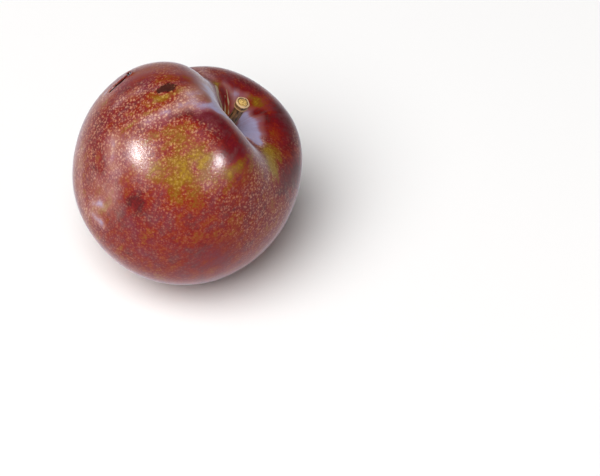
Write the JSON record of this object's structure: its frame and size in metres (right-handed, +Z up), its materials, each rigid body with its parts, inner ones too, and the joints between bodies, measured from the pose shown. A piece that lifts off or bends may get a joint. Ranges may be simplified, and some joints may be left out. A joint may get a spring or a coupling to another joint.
{
  "type": "plum",
  "caption": "Whole ripe plum lying on its side, with a deep stalk hollow, a seam between two full lobes and a short woody stalk.",
  "frame": {"origin": "middle of the small flat spot that the fruit rests on", "axes": "+Z up, +X towards the side that the stalk end leans to, -Y towards the side with the stalk hollow's near lobe"},
  "size_m": [0.0605, 0.0601, 0.0609],
  "materials": {
    "plum_skin": "satin",
    "plum_stalk": "matte"
  },
  "bodies": {
    "root": {"fruit": "plum_skin", "stalk": "plum_stalk"}
  },
  "joints": []
}
